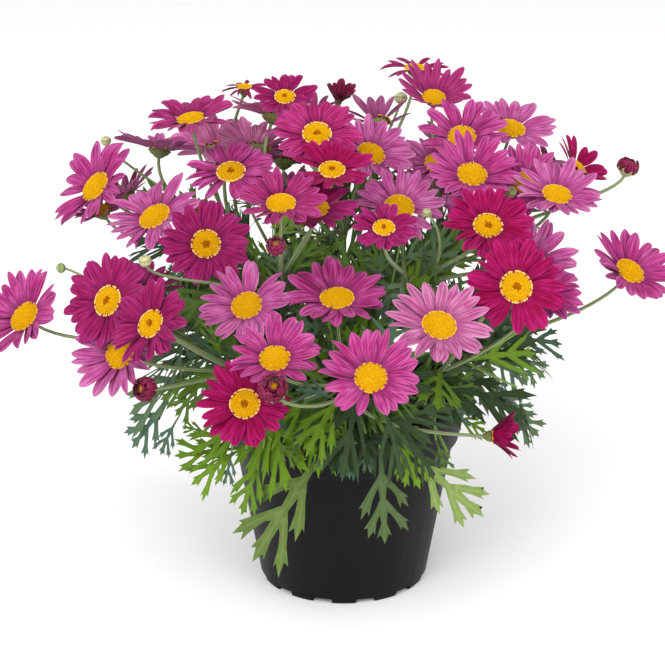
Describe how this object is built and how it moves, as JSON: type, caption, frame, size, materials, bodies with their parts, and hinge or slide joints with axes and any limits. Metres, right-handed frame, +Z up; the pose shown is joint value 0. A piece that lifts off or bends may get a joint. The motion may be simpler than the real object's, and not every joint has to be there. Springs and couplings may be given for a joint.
{
  "type": "potted marguerite daisy",
  "caption": "Bushy marguerite daisy with lobed leaves and wide open pink blooms on bare stalks, standing in a round black nursery pot with a flat base.",
  "frame": {"origin": "centre of the pot's flat underside, where it stands", "axes": "+Z up, -Y towards the viewer of the side that shows, +X to that viewer's right"},
  "size_m": [0.3486, 0.3354, 0.2833],
  "materials": {
    "black_plastic": "moulded, matt black with a faint sheen",
    "compost": "moist, crumbly, dark brown",
    "stem_wood": "matt, green turning woody at the foot",
    "foliage": "matt green leaf with a soft bloom",
    "blossom": "matt petals with a soft sheen"
  },
  "bodies": {
    "root": {"pot": "black_plastic", "compost": "compost", "trunk": "stem_wood", "bough_skirt_1": "stem_wood", "bough_skirt_2": "stem_wood", "bough_skirt_3": "stem_wood", "bough_skirt_4": "stem_wood", "bough_skirt_5": "stem_wood", "bough_skirt_6": "stem_wood", "bough_skirt_7": "stem_wood", "bough_skirt_8": "stem_wood", "bough_skirt_9": "stem_wood", "bough_middle_1": "stem_wood", "bough_middle_2": "stem_wood", "bough_middle_3": "stem_wood", "bough_middle_4": "stem_wood", "bough_middle_5": "stem_wood", "bough_top": "stem_wood", "mass_skirt_1": "foliage", "mass_skirt_2": "foliage", "mass_skirt_3": "foliage", "mass_skirt_4": "foliage", "mass_skirt_5": "foliage", "mass_skirt_6": "foliage", "mass_skirt_7": "foliage", "mass_skirt_8": "foliage", "mass_skirt_9": "foliage", "mass_middle_1": "blossom", "mass_middle_2": "blossom", "mass_middle_3": "blossom", "mass_middle_4": "blossom", "mass_middle_5": "blossom", "mass_top": "blossom"}
  },
  "joints": []
}
